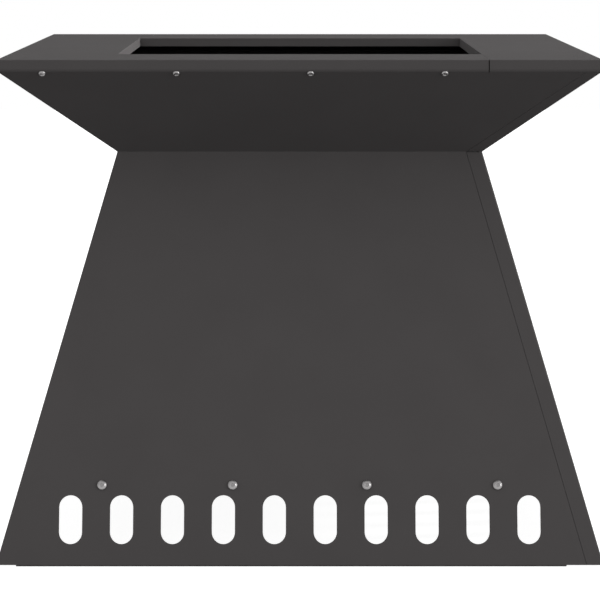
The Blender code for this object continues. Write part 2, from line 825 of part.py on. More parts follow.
add_on_sides("board", make_board(), powder_coat)
add_on_sides("panel", make_panel(), powder_coat)
add_on_sides("rail", make_rail(), powder_coat)
add_on_sides("corner_backing", make_backing(), powder_coat)
add_on_sides("ledge", make_ledge(), powder_coat)
m6 = make_screw("m6", M6_SHANK, M6_HEAD, M6_HEAD_HEIGHT, M6_LENGTH, M6_SOCKET, M6_STEPS)
add_screws("board_screw", m6, board_screw_frames())
m8 = make_screw("m8", M8_SHANK, M8_HEAD, M8_HEAD_HEIGHT, M8_LENGTH, M8_SOCKET, M8_STEPS)
add_screws("plate_screw", m8, plate_screw_frames())
make_fire_box()
add_handle("left_handle", -1)
add_handle("right_handle", 1)
add_grate()
add_floor_plate()
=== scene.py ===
import math

import bmesh
import bpy
from mathutils import Matrix, Vector


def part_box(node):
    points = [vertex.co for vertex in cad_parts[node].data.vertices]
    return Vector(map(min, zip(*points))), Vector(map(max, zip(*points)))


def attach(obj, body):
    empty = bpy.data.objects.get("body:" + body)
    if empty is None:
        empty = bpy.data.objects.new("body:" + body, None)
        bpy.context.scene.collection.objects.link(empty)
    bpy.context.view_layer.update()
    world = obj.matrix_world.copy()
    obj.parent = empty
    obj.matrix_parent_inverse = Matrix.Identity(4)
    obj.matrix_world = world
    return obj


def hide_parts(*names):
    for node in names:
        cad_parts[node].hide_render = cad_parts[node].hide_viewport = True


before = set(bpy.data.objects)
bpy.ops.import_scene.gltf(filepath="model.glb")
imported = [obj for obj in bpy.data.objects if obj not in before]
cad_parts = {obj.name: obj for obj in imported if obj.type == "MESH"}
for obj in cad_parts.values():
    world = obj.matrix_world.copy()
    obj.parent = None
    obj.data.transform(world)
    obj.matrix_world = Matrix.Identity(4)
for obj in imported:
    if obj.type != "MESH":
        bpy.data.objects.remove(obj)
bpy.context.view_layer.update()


# Body panels. Four equal sides of 2 mm sheet steel, laser cut with air slots and screw holes, then folded
# on a press brake: a foot flange, one corner strip that wraps onto the next side, and the waist. They are
# powder coated matt anthracite and laid pinwheel fashion, each one's strip meeting its neighbour's edge.

MM = 0.001
SIDES = ("front", "right", "back", "left")
TABLE_HEIGHT = 750 * MM
RIM_HALF = 440 * MM
FOOT_HALF = 452 * MM
WAIST_HALF = 277 * MM
WAIST_HEIGHT = 602.5 * MM
SHARP_RIM_HEIGHT = TABLE_HEIGHT - 16 * MM
SHEET = 2 * MM
TOUCH = 0.3 * MM  # gap between pieces that lie on each other
FASCIA_BEND = 7.5 * MM
PANEL_BEND = 2.5 * MM
FOOT_BEND = 2.85 * MM
WAIST_BEND = 1.5 * MM
PANEL_SEAM = 0.6 * MM
STRIP_WIDTHS = (24.6 * MM, 24.0 * MM, 22.0 * MM)  # of the corner strip at the foot, the waist and the rim
FOOT_FLANGE = 28 * MM
RELIEF = FOOT_FLANGE + 2.5 * MM
RELIEF_TOP = SHEET + 0.7 * MM
WAIST_SLIT = 2 * MM
SLOTS = 10
SLOT_PITCH = 75.8 * MM
SLOT_WIDTH = 34.3 * MM
SLOT_LENGTH = 70 * MM
SLOT_MIDDLE = 67.1 * MM
SLOT_CORNER_SHARE = 0.4999  # of the slot's width, so that two round corners stop just short of meeting
BOARD_SCREWS = 4
BOARD_SCREW_FIRST = -373.5 * MM
BOARD_SCREW_LAST = 210.5 * MM
BOARD_SCREW_EDGE = 1.2 * MM
PLATE_SCREW_HEIGHT = 117 * MM
PLATE_SCREW_INNER = 100 * MM
PLATE_SCREW_OUTER = 295 * MM
M6_HOLE = 6.8 * MM
M8_HOLE = 8.8 * MM
BEND_STEPS = 8
ROUND_STEPS = 32
EDGE_STEPS = 2
OVERRUN = 10 * MM
SLOT_REACH = 60 * MM  # how far a slot's cutter goes into the body
MERGE = 0.001 * MM
SMOOTH_ANGLE = math.radians(32)

FOOT_POINT = Vector((FOOT_HALF, 0))
WAIST_POINT = Vector((WAIST_HALF, WAIST_HEIGHT))
RIM_POINT = Vector((RIM_HALF, SHARP_RIM_HEIGHT))
BODY_UP = (WAIST_POINT - FOOT_POINT).normalized()
FLARE_UP = (RIM_POINT - WAIST_POINT).normalized()


def left_of(direction):
    return Vector((-direction.y, direction.x))


def turn_between(before, after):
    return math.atan2(before.x * after.y - before.y * after.x, before.dot(after))


def legs_of(corners):
    return [(after - before).normalized() for before, after in zip(corners, corners[1:])]


def moved_left(corners, distance):
    """A folded profile's other face: the same path, a sheet's thickness to its left."""
    legs = legs_of(corners)
    moved = []
    for k, corner in enumerate(corners):
        before = left_of(legs[max(k - 1, 0)])
        after = left_of(legs[min(k, len(legs) - 1)])
        moved.append(corner + (before + after) * (distance / (1 + before.dot(after))))
    return moved


def rounded(corners, radii, steps=BEND_STEPS):
    """The profile with every fold turned into an arc."""
    legs = legs_of(corners)
    path = [corners[0]]
    for k, radius in enumerate(radii):
        turn = turn_between(legs[k], legs[k + 1])
        start = corners[k + 1] - legs[k] * radius * math.tan(abs(turn) / 2)
        centre = start + left_of(legs[k]) * math.copysign(radius, turn)
        for step in range(steps + 1):
            path.append(centre + Matrix.Rotation(turn * step / steps, 2) @ (start - centre))
    path.append(corners[-1])
    return path


def both_faces(corners, radii, thickness):
    legs = legs_of(corners)
    inner = []
    for k, radius in enumerate(radii):
        inside = turn_between(legs[k], legs[k + 1]) * thickness > 0
        inner.append(max(radius - abs(thickness), 0) if inside else radius + abs(thickness))
    return rounded(corners, radii), rounded(moved_left(corners, thickness), inner)


def down_flare(distance):
    return RIM_POINT - FLARE_UP * distance


def foot_half_at(height, depth=0.0):
    """Half width of the tapering body at a height, this deep inside its outer face."""
    return FOOT_HALF + BODY_UP.x / BODY_UP.y * height - depth / BODY_UP.y


def strip_width_at(height):
    foot, waist, rim = STRIP_WIDTHS
    if height < WAIST_HEIGHT:
        return foot + (waist - foot) * height / WAIST_HEIGHT
    return waist + (rim - waist) * (height - WAIST_HEIGHT) / (SHARP_RIM_HEIGHT - WAIST_HEIGHT)


def wrapped_row(point, side_end, front_end, radius):
    """One height of a sheet that starts on the left side, turns the corner and runs along the front."""
    half, height = point
    radius = min(radius, half + side_end)
    row = [(-half, side_end, height)]
    for step in range(BEND_STEPS + 1):
        angle = math.pi * (1 + step / BEND_STEPS / 2)
        across = -half + radius + radius * math.cos(angle)
        along = -half + radius + radius * math.sin(angle)
        row.append((across, along, height))
    row.append((front_end, -half, height))
    return row


def closed_sheet(name, outer, inner, ring=False, floor=False):
    """Joins the rows of a sheet's two faces and closes its cut edges."""
    shape = bmesh.new()
    out = [[shape.verts.new(point) for point in row] for row in outer]
    into = [[shape.verts.new(point) for point in row] for row in inner]
    columns = len(outer[0])
    pairs = [(c, (c + 1) % columns) for c in range(columns if ring else columns - 1)]
    for r in range(len(outer) - 1):
        for a, b in pairs:
            shape.faces.new((out[r][a], out[r][b], out[r + 1][b], out[r + 1][a]))
            shape.faces.new((into[r][a], into[r + 1][a], into[r + 1][b], into[r][b]))
        if not ring:
            shape.faces.new((out[r][0], out[r + 1][0], into[r + 1][0], into[r][0]))
            shape.faces.new((out[r][-1], into[r][-1], into[r + 1][-1], out[r + 1][-1]))
    for a, b in pairs:
        shape.faces.new((out[0][b], out[0][a], into[0][a], into[0][b]))
        if not floor:
            shape.faces.new((out[-1][a], out[-1][b], into[-1][b], into[-1][a]))
    if floor:
        shape.faces.new(out[-1])
        shape.faces.new(reversed(into[-1]))
    return mesh_of(shape, name)


def mesh_of(shape, name):
    bmesh.ops.remove_doubles(shape, verts=shape.verts, dist=MERGE)
    bmesh.ops.dissolve_degenerate(shape, edges=shape.edges, dist=MERGE)
    bmesh.ops.recalc_face_normals(shape, faces=shape.faces)
    mesh = bpy.data.meshes.new(name)
    shape.to_mesh(mesh)
    shape.free()
    return mesh


def put(name, mesh, material=None):
    piece = bpy.data.objects.new(name, mesh)
    bpy.context.scene.collection.objects.link(piece)
    if material:
        mesh.materials.clear()
        mesh.materials.append(material)
    return piece


def settled(piece):
    """The piece's modifiers made part of a plain mesh, with flat faces kept flat beside the folds."""
    piece.data.shade_smooth()
    even = piece.modifiers.new("flat_faces", "WEIGHTED_NORMAL")
    even.keep_sharp = True
    made = bpy.data.meshes.new_from_object(piece.evaluated_get(bpy.context.evaluated_depsgraph_get()))
    made.name = piece.name
    piece.modifiers.clear()
    piece.data = made
    return piece


def soften(piece, width=0):
    """Smooths the folds and, where a width is given, breaks the sharp edges."""
    piece.data.shade_smooth()
    piece.data.set_sharp_from_angle(angle=SMOOTH_ANGLE)
    if width:
        edge = piece.modifiers.new("broken_edges", "BEVEL")
        edge.width = width
        edge.segments = EDGE_STEPS
        edge.limit_method = "ANGLE"
        edge.angle_limit = SMOOTH_ANGLE
    return piece


def turned_copy(mesh, side):
    """The front side's mesh, turned onto another side."""
    copy = mesh.copy()
    copy.transform(Matrix.Rotation(math.pi / 2 * SIDES.index(side), 4, "Z"))
    return copy


def add_node(tree, kind, inputs=(), **settings):
    """A node with its settings, and with values or links on its inputs."""
    made = tree.nodes.new(kind)
    for name, value in settings.items():
        setattr(made, name, value)
    for socket, value in dict(inputs).items():
        for source in value if isinstance(value, list) else [value]:
            if isinstance(source, bpy.types.NodeSocket):
                tree.links.new(source, made.inputs[socket])
            else:
                made.inputs[socket].default_value = source
    return made


def new_geometry_tree(name, sizes):
    """A geometry tree with one named input for each size."""
    tree = bpy.data.node_groups.new(name, "GeometryNodeTree")
    tree.interface.new_socket("Geometry", in_out="INPUT", socket_type="NodeSocketGeometry")
    tree.interface.new_socket("Geometry", in_out="OUTPUT", socket_type="NodeSocketGeometry")
    kinds = {int: "NodeSocketInt", float: "NodeSocketFloat", Vector: "NodeSocketVector"}
    for label, value in sizes.items():
        tree.interface.new_socket(label, in_out="INPUT", socket_type=kinds[type(value)])
    return tree, tree.nodes.new("NodeGroupInput").outputs


def end_tree(tree, geometry, material):
    whole = add_node(tree, "GeometryNodeRealizeInstances", {"Geometry": geometry})
    coat = add_node(
        tree, "GeometryNodeSetMaterial", {"Geometry": whole.outputs[0], "Material": material}
    )
    tree.links.new(coat.outputs[0], tree.nodes.new("NodeGroupOutput").inputs[0])


def run_tree(piece, tree, sizes):
    """Sets a tree's inputs on a piece and makes the result its mesh."""
    modifier = piece.modifiers.new(tree.name, "NODES")
    modifier.node_group = tree
    for item in tree.interface.items_tree:
        if item.in_out == "INPUT" and item.name in sizes:
            value = sizes[item.name]
            modifier[item.identifier] = tuple(value) if isinstance(value, Vector) else value
    made = bpy.data.meshes.new_from_object(piece.evaluated_get(bpy.context.evaluated_depsgraph_get()))
    made.name = piece.name
    piece.modifiers.clear()
    piece.data = made
    return piece


def linear(code):
    """An sRGB hex colour as the shader's linear values."""
    shares = [int(code[k : k + 2], 16) / 255 for k in (1, 3, 5)]
    return (*(s / 12.92 if s <= 0.04045 else ((s + 0.055) / 1.055) ** 2.4 for s in shares), 1)


def new_finish(name):
    """An empty shader tree with its Principled shader, and the object's own coordinates."""
    material = bpy.data.materials.new(name)
    material.use_nodes = True
    tree = material.node_tree
    place = add_node(tree, "ShaderNodeTexCoord").outputs["Object"]
    return material, tree, tree.nodes["Principled BSDF"], place


def finish(tree, shader, colour, gloss, relief):
    """Links a finish's colour, roughness and fine relief to its shader."""
    for socket, source in (("Base Color", colour), ("Roughness", gloss), ("Normal", relief)):
        tree.links.new(source, shader.inputs[socket])


# Polyester powder coat on steel, sprayed dry and baked: a matt anthracite skin with a faint orange peel,
# whose real grain of about 0.6 mm is drawn at 2 mm so that it shows, and a slow cloudiness in its tone.
POWDER_LIGHT = "#424040"
POWDER_DARK = "#3e3c3c"
POWDER_ROUGHNESS = (0.8, 0.92)
POWDER_SPECULAR = 0.03
CLOUD_SIZE = 90 * MM
PEEL_SIZE = 2 * MM
PEEL_DEPTH = 0.1 * MM
powder_coat, tree, shader, place = new_finish("powder_coated_steel")
cloud = add_node(
    tree, "ShaderNodeTexNoise", {"Vector": place, "Scale": 1 / CLOUD_SIZE, "Detail": 3.0, "Roughness": 0.55}
)
tone = add_node(
    tree,
    "ShaderNodeMix",
    {"Factor": cloud.outputs["Fac"], "A": linear(POWDER_DARK), "B": linear(POWDER_LIGHT)},
    data_type="RGBA",
)
peel = add_node(tree, "ShaderNodeTexNoise", {"Vector": place, "Scale": 1 / PEEL_SIZE, "Detail": 1.0})
low, high = POWDER_ROUGHNESS
gloss = add_node(
    tree,
    "ShaderNodeMapRange",
    {"Value": peel.outputs["Fac"], "From Min": 0.3, "From Max": 0.7, "To Min": low, "To Max": high},
)
relief = add_node(
    tree, "ShaderNodeBump", {"Height": peel.outputs["Fac"], "Strength": 0.12, "Distance": PEEL_DEPTH}
)
shader.inputs["Specular IOR Level"].default_value = POWDER_SPECULAR
finish(tree, shader, tone.outputs["Result"], gloss.outputs["Result"], relief.outputs["Normal"])

fascia_run = FASCIA_BEND * math.tan(abs(turn_between(Vector((0, -1)), -FLARE_UP)) / 2)
panel_top = fascia_run + 2 * TOUCH
panel_profile = [FOOT_POINT - Vector((FOOT_FLANGE, 0)), FOOT_POINT, WAIST_POINT, down_flare(panel_top)]
outer, inner = both_faces(panel_profile, (FOOT_BEND, WAIST_BEND), SHEET)
rows = []
for face, radius in ((outer, PANEL_BEND), (inner, PANEL_BEND - SHEET)):
    skin = []
    for point, beside in zip(face, outer):
        half, height = beside
        edge = max(half, foot_half_at(height))
        side_end = max(strip_width_at(height) - edge, -half)
        skin.append(wrapped_row(point, side_end, edge - strip_width_at(height) - PANEL_SEAM, radius))
    rows.append(skin)

board_screws_at = down_flare(panel_top + BOARD_SCREW_EDGE)
plate_screws_at = Vector((foot_half_at(PLATE_SCREW_HEIGHT), PLATE_SCREW_HEIGHT))
flare_lean = math.atan2(FLARE_UP.x, FLARE_UP.y)
body_lean = math.atan2(BODY_UP.x, BODY_UP.y)


def row_sizes(name, count, low, high, point, lean):
    """A level row of screws on the front side, named for a geometry tree."""
    return {
        f"{name} Count": count,
        f"{name} First": Vector((low, -point.x, point.y)),
        f"{name} Last": Vector((high, -point.x, point.y)),
        f"{name} Lean": lean,
    }


def add_row(tree, size, name, instance):
    """Stands an instance square to the sheet at each place of a named row."""
    places = {
        "Count": size[f"{name} Count"],
        "Start Location": size[f"{name} First"],
        "Offset": size[f"{name} Last"],
    }
    row = add_node(tree, "GeometryNodeMeshLine", places, mode="END_POINTS")
    lean = add_node(tree, "ShaderNodeMath", {0: size[f"{name} Lean"], 1: math.pi / 2}, operation="ADD")
    turn = add_node(tree, "ShaderNodeCombineXYZ", {"X": lean.outputs[0]})
    stood = {"Points": row.outputs[0], "Instance": instance, "Rotation": turn.outputs[0]}
    return add_node(tree, "GeometryNodeInstanceOnPoints", stood).outputs[0]


def add_drills(tree, size, name):
    drill = add_node(
        tree,
        "GeometryNodeMeshCylinder",
        {"Vertices": ROUND_STEPS, "Radius": size[f"{name} Hole"], "Depth": OVERRUN},
    )
    return add_row(tree, size, name, drill.outputs[0])


board_row = row_sizes(
    "Board Screw", BOARD_SCREWS, BOARD_SCREW_FIRST, BOARD_SCREW_LAST, board_screws_at, flare_lean
)
inner_row = row_sizes("Inner Screw", 2, -PLATE_SCREW_INNER, PLATE_SCREW_INNER, plate_screws_at, body_lean)
outer_row = row_sizes("Outer Screw", 2, -PLATE_SCREW_OUTER, PLATE_SCREW_OUTER, plate_screws_at, body_lean)
panel_sizes = {
    "Slots": SLOTS,
    "Slot Pitch": SLOT_PITCH,
    "Slot Width": SLOT_WIDTH,
    "Slot Length": SLOT_LENGTH,
    "Slot Middle": SLOT_MIDDLE,
    **board_row,
    "Board Screw Hole": M6_HOLE / 2,
    **inner_row,
    "Inner Screw Hole": M8_HOLE / 2,
    **outer_row,
    "Outer Screw Hole": M8_HOLE / 2,
}
tree, size = new_geometry_tree("panel_cutting", panel_sizes)
outline = add_node(
    tree, "GeometryNodeCurvePrimitiveQuadrilateral", {0: size["Slot Width"], 1: size["Slot Length"]}
)
end_radius = add_node(
    tree, "ShaderNodeMath", {0: size["Slot Width"], 1: SLOT_CORNER_SHARE}, operation="MULTIPLY"
)
slot_ends = add_node(
    tree,
    "GeometryNodeFilletCurve",
    {"Curve": outline.outputs[0], "Count": ROUND_STEPS // 4, "Radius": end_radius.outputs[0]},
    mode="POLY",
)
way = add_node(
    tree, "GeometryNodeCurvePrimitiveLine", {"Start": (0, -OVERRUN, 0), "End": (0, SLOT_REACH, 0)}
)
slot = add_node(
    tree,
    "GeometryNodeCurveToMesh",
    {"Curve": way.outputs[0], "Profile Curve": slot_ends.outputs[0], "Fill Caps": True},
)
last_slot = add_node(tree, "ShaderNodeMath", {0: size["Slots"], 1: 1.0}, operation="SUBTRACT")
reach = add_node(
    tree, "ShaderNodeMath", {0: last_slot.outputs[0], 1: size["Slot Pitch"]}, operation="MULTIPLY"
)
start = add_node(tree, "ShaderNodeMath", {0: reach.outputs[0], 1: -0.5}, operation="MULTIPLY")
first = add_node(
    tree,
    "ShaderNodeCombineXYZ",
    {"X": start.outputs[0], "Y": -FOOT_HALF, "Z": size["Slot Middle"]},
)
step = add_node(tree, "ShaderNodeCombineXYZ", {"X": size["Slot Pitch"]})
row = add_node(
    tree,
    "GeometryNodeMeshLine",
    {"Count": size["Slots"], "Start Location": first.outputs[0], "Offset": step.outputs[0]},
)
slots = add_node(
    tree, "GeometryNodeInstanceOnPoints", {"Points": row.outputs[0], "Instance": slot.outputs[0]}
)
cuts = [slots.outputs[0]]
for name in ("Board Screw", "Inner Screw", "Outer Screw"):
    cuts.append(add_drills(tree, size, name))
seam = FOOT_HALF - STRIP_WIDTHS[0] - PANEL_SEAM
beyond = FOOT_HALF + OVERRUN
strip = strip_width_at(WAIST_HEIGHT)
left_relief = ((-beyond, -beyond, -OVERRUN), (RELIEF - FOOT_HALF, RELIEF - FOOT_HALF, RELIEF_TOP))
right_relief = ((seam - RELIEF, -beyond, -OVERRUN), (beyond, RELIEF - FOOT_HALF, RELIEF_TOP))
waist_slit = (
    (-WAIST_HALF - OVERRUN, 2 * PANEL_BEND - WAIST_HALF, WAIST_HEIGHT - WAIST_SLIT / 2),
    (OVERRUN - WAIST_HALF, strip + OVERRUN - WAIST_HALF, WAIST_HEIGHT + WAIST_SLIT / 2),
)
for corners in (left_relief, right_relief, waist_slit):
    low, high = (Vector(corner) for corner in corners)
    block = add_node(tree, "GeometryNodeMeshCube", {"Size": high - low})
    notch = add_node(
        tree,
        "GeometryNodeTransform",
        {"Geometry": block.outputs[0], "Translation": (low + high) / 2},
    )
    cuts.append(notch.outputs[0])
all_cuts = add_node(tree, "GeometryNodeJoinGeometry", {"Geometry": cuts})
solid_cuts = add_node(tree, "GeometryNodeRealizeInstances", {"Geometry": all_cuts.outputs[0]})
cut = add_node(
    tree,
    "GeometryNodeMeshBoolean",
    {"Mesh 1": size["Geometry"], "Mesh 2": solid_cuts.outputs[0]},
    operation="DIFFERENCE",
    solver="EXACT",
)
end_tree(tree, cut.outputs[0], powder_coat)

blank = put("panel_blank", closed_sheet("panel_blank", *rows))
panel_mesh = settled(soften(run_tree(blank, tree, panel_sizes))).data
bpy.data.objects.remove(blank)
for side in SIDES:
    panel = put(f"{side}_panel_sheet", turned_copy(panel_mesh, side))
    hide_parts(f"{side}_panel")
    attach(panel, "body")


# Corner backing strips, ledge angles, board rails and floor plate. Folded pieces of the same steel inside the
# body: the strips are welded behind the seams, below the waist and in the boards, and the plate is screwed in
# above the slots. They are coated like the body, and their solids are already right, so they take only that.

for node_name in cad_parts:
    if node_name.endswith(("_corner_backing", "_ledge", "_rail")) or node_name == "floor_plate":
        inside_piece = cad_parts[node_name]
        inside_piece.data.materials.clear()
        inside_piece.data.materials.append(powder_coat)


# Table top boards. Four trays of 2 mm sheet steel, folded down 14 mm at the fire opening and round the
# outer edge, where a wider bend runs on into the flare. Each wraps round one corner, its left end square
# against the next board, the seam close on the top and wider on the fascia. They are coated like the body.

OPENING_HALF = 275 * MM
LIP = 14 * MM
TOP_SEAM = 0.4 * MM
FASCIA_SEAM = 1.5 * MM
BOARD_EDGE = 1 * MM
BOARD_CORNER = 1.5 * MM

board_profile = [
    Vector((OPENING_HALF, TABLE_HEIGHT - LIP)),
    Vector((OPENING_HALF, TABLE_HEIGHT)),
    Vector((RIM_HALF, TABLE_HEIGHT)),
    RIM_POINT,
    down_flare(fascia_run + TOUCH),
]
outer, inner = both_faces(board_profile, (BOARD_EDGE, BOARD_EDGE, FASCIA_BEND), -SHEET)
top_rows = BEND_STEPS + 3  # the lip, its bend and the flat top as far as the fascia's bend
board_ends = [OPENING_HALF - (TOP_SEAM if k < top_rows else FASCIA_SEAM) for k in range(len(outer))]
board_mesh = closed_sheet(
    "board_blank",
    [wrapped_row(point, -OPENING_HALF, end, BOARD_CORNER) for point, end in zip(outer, board_ends)],
    [wrapped_row(point, -OPENING_HALF, end, 0) for point, end in zip(inner, board_ends)],
)
board_sizes = {**board_row, "Board Screw Hole": M6_HOLE / 2}
tree, size = new_geometry_tree("board_notching", board_sizes)
drills = add_node(
    tree, "GeometryNodeRealizeInstances", {"Geometry": add_drills(tree, size, "Board Screw")}
)
notched = add_node(
    tree,
    "GeometryNodeMeshBoolean",
    {"Mesh 1": size["Geometry"], "Mesh 2": drills.outputs[0]},
    operation="DIFFERENCE",
    solver="EXACT",
)
end_tree(tree, notched.outputs[0], powder_coat)
blank = put("board_blank", board_mesh)
board_mesh = settled(soften(run_tree(blank, tree, board_sizes))).data
bpy.data.objects.remove(blank)
for side in SIDES:
    board = put(f"{side}_board_tray", turned_copy(board_mesh, side))
    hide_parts(f"{side}_board")
    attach(board, "body")


# Button head screws. Cold headed from A2 stainless steel with a low domed head and a hexagon socket:
# M6 ones hold the boards to the flare, M8 ones the floor plate above the slots.

SCREW_STEPS = 36
CROWN_STEPS = 7
SOCKET_FLOOR_SHARE = 0.6  # of the head's height
SOCKET_MOUTH = 0.3 * MM  # bevel where the socket opens


def screw_mesh(name, shank, length, head, height, flat, crown, edge, socket):
    """A screw with its head up. The head is flat in the middle, its crown is part of a ball and ends at the
    edge's height, and a bevel runs from there to the rim."""
    rim, crown_end, flat_end = head / 2, crown / 2, flat / 2
    centre = (height**2 - edge**2 + flat_end**2 - crown_end**2) / (2 * (height - edge))
    ball = math.hypot(crown_end, edge - centre)
    start, end = math.asin(flat_end / ball), math.asin(crown_end / ball)

    def hexagon(z):
        row = []
        for k in range(SCREW_STEPS):
            angle = math.tau * k / SCREW_STEPS
            within = (angle + math.pi / 6) % (math.pi / 3) - math.pi / 6
            reach = socket / 2 / math.cos(within)
            row.append((reach * math.cos(angle), reach * math.sin(angle), z + TOUCH))
        return row

    def circle(r, z):
        angles = [math.tau * k / SCREW_STEPS for k in range(SCREW_STEPS)]
        return [(r * math.cos(angle), r * math.sin(angle), z + TOUCH) for angle in angles]

    mouth = socket / 2 / math.cos(math.pi / 6) + SOCKET_MOUTH
    rows = [hexagon(height * SOCKET_FLOOR_SHARE), hexagon(height - SOCKET_MOUTH), circle(mouth, height)]
    for k in range(CROWN_STEPS + 1):
        angle = start + (end - start) * k / CROWN_STEPS
        rows.append(circle(ball * math.sin(angle), centre + ball * math.cos(angle)))
    if crown < head:
        rows.append(circle(rim, edge - (rim - crown_end)))
    rows += [circle(rim, 0), circle(shank / 2, 0), circle(shank / 2, -length)]
    shape = bmesh.new()
    recess = shape.verts.layers.float.new("recess")
    made = [[shape.verts.new(point) for point in row] for row in rows]
    # Marks the socket's walls and floor, which the steel's finish paints darker as painted shade.
    for vertex in made[0] + made[1]:
        vertex[recess] = 1.0
    for before, after in zip(made, made[1:]):
        for a in range(SCREW_STEPS):
            b = (a + 1) % SCREW_STEPS
            shape.faces.new((before[a], before[b], after[b], after[a]))
    shape.faces.new(reversed(made[0]))
    shape.faces.new(made[-1])
    mesh = mesh_of(shape, name)
    mesh.shade_smooth()
    mesh.set_sharp_from_angle(angle=SMOOTH_ANGLE)
    return mesh


# A2 stainless steel, cold headed and tumbled: a satin grey metal with small handling marks, whose real
# 0.1 mm scratches are drawn at 0.5 mm so that they show, and a socket painted a darker grey as painted shade.
STAINLESS_LIGHT = "#9c9a9a"
STAINLESS_DARK = "#868484"
# A darker grey painted into the socket: painted shade in its recess.
SOCKET_PAINTED_SHADE = "#8c8a8a"
STAINLESS_ROUGHNESS = (0.28, 0.4)
MARK_SIZE = 1.5 * MM
SCRATCH_SIZE = 0.5 * MM
SCRATCH_DEPTH = 0.02 * MM
stainless, tree, shader, place = new_finish("bright_stainless_steel")
marks = add_node(tree, "ShaderNodeTexNoise", {"Vector": place, "Scale": 1 / MARK_SIZE, "Detail": 4.0})
tone = add_node(
    tree,
    "ShaderNodeMix",
    {"Factor": marks.outputs["Fac"], "A": linear(STAINLESS_DARK), "B": linear(STAINLESS_LIGHT)},
    data_type="RGBA",
)
within = add_node(tree, "ShaderNodeAttribute", attribute_name="recess").outputs["Fac"]
# The socket is painted in the darker grey: painted shade in the recess, not a colour of the steel.
colour = add_node(
    tree,
    "ShaderNodeMix",
    {"Factor": within, "A": tone.outputs["Result"], "B": linear(SOCKET_PAINTED_SHADE)},
    data_type="RGBA",
)
low, high = STAINLESS_ROUGHNESS
gloss = add_node(
    tree, "ShaderNodeMapRange", {"Value": marks.outputs["Fac"], "To Min": low, "To Max": high}
)
scratch = add_node(tree, "ShaderNodeTexNoise", {"Vector": place, "Scale": 1 / SCRATCH_SIZE, "Detail": 2.0})
relief = add_node(
    tree, "ShaderNodeBump", {"Height": scratch.outputs["Fac"], "Strength": 0.1, "Distance": SCRATCH_DEPTH}
)
shader.inputs["Metallic"].default_value = 1.0
finish(tree, shader, colour.outputs["Result"], gloss.outputs["Result"], relief.outputs["Normal"])

m6 = screw_mesh(
    "m6_button_head",
    shank=6 * MM,
    length=12 * MM,
    head=10.5 * MM,
    height=2.2 * MM,
    flat=8 * MM,
    crown=10.5 * MM,
    edge=0.3 * MM,
    socket=4 * MM,
)
m8 = screw_mesh(
    "m8_button_head",
    shank=8 * MM,
    length=14 * MM,
    head=14 * MM,
    height=4.4 * MM,
    flat=7 * MM,
    crown=13 * MM,
    edge=2.5 * MM,
    socket=5 * MM,
)
screw_sizes = {
    "Screw Count": BOARD_SCREWS,
    "Screw First": Vector(),
    "Screw Last": Vector(),
    "Screw Lean": 0.0,
    "Sides": len(SIDES),
}
tree, size = new_geometry_tree("screws_on_all_sides", screw_sizes)
screw_row = add_row(tree, size, "Screw", size["Geometry"])
middle = add_node(tree, "GeometryNodeMeshLine", {"Count": size["Sides"], "Offset": (0, 0, 0)})
number = add_node(tree, "GeometryNodeInputIndex")
angle = add_node(
    tree, "ShaderNodeMath", {0: number.outputs[0], 1: math.pi / 2}, operation="MULTIPLY"
)
spin = add_node(tree, "ShaderNodeCombineXYZ", {"Z": angle.outputs[0]})
around = add_node(
    tree,
    "GeometryNodeInstanceOnPoints",
    {"Points": middle.outputs[0], "Instance": screw_row, "Rotation": spin.outputs[0]},
)
end_tree(tree, around.outputs[0], stainless)

for name, mesh, row, kind, numbers in (
    ("board_screws", m6, board_row, "board", (1, 2, 3, 4)),
    ("inner_plate_screws", m8, inner_row, "plate", (2, 3)),
    ("outer_plate_screws", m8, outer_row, "plate", (1, 4)),
):
    screws = put(name, mesh.copy())
    places = {f"Screw {label.split()[-1]}": value for label, value in row.items()}
    run_tree(screws, tree, {**screw_sizes, **places})
    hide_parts(*(f"{side}_{kind}_screw_{k}" for side in SIDES for k in numbers))
    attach(screws, "body")


# Fire box. A welded tub of 3 mm steel with a flat rim that hangs on the ledges and a pattern of air holes
# in its floor, sprayed with heat resistant black paint. It is loose and is lifted out by two rod handles.

BOX_SHEET = 3 * MM
BOX_BEND = 5 * MM
BOX_CORNER = 8 * MM
BOX_HOLE = 20 * MM
BOX_HOLE_PITCH = 90 * MM
BOX_HOLES = 4
LEDGE_DROP = 6 * MM
LEDGE_REACH = 30 * MM
BOX_CLEARANCE = 5 * MM

# Silicone heat paint over shot blasted steel: a dead matt black, slightly uneven in tone, with the blast
# texture showing through, whose real 0.3 mm pits are drawn at 1.2 mm so that they show.
HEAT_LIGHT = "#262524"
HEAT_DARK = "#191918"
HEAT_ROUGHNESS = (0.68, 0.88)
HEAT_SPECULAR = 0.2
PATCH_SIZE = 60 * MM
PIT_SIZE = 1.2 * MM
PIT_DEPTH = 0.1 * MM
heat_paint, tree, shader, place = new_finish("heat_resistant_paint")
patch = add_node(
    tree, "ShaderNodeTexNoise", {"Vector": place, "Scale": 1 / PATCH_SIZE, "Detail": 5.0, "Roughness": 0.6}
)
tone = add_node(
    tree,
    "ShaderNodeMix",
    {"Factor": patch.outputs["Fac"], "A": linear(HEAT_DARK), "B": linear(HEAT_LIGHT)},
    data_type="RGBA",
)
pits = add_node(tree, "ShaderNodeTexNoise", {"Vector": place, "Scale": 1 / PIT_SIZE, "Detail": 2.0})
low, high = HEAT_ROUGHNESS
gloss = add_node(tree, "ShaderNodeMapRange", {"Value": pits.outputs["Fac"], "To Min": low, "To Max": high})
relief = add_node(
    tree, "ShaderNodeBump", {"Height": pits.outputs["Fac"], "Strength": 0.25, "Distance": PIT_DEPTH}
)
shader.inputs["Specular IOR Level"].default_value = HEAT_SPECULAR
finish(tree, shader, tone.outputs["Result"], gloss.outputs["Result"], relief.outputs["Normal"])

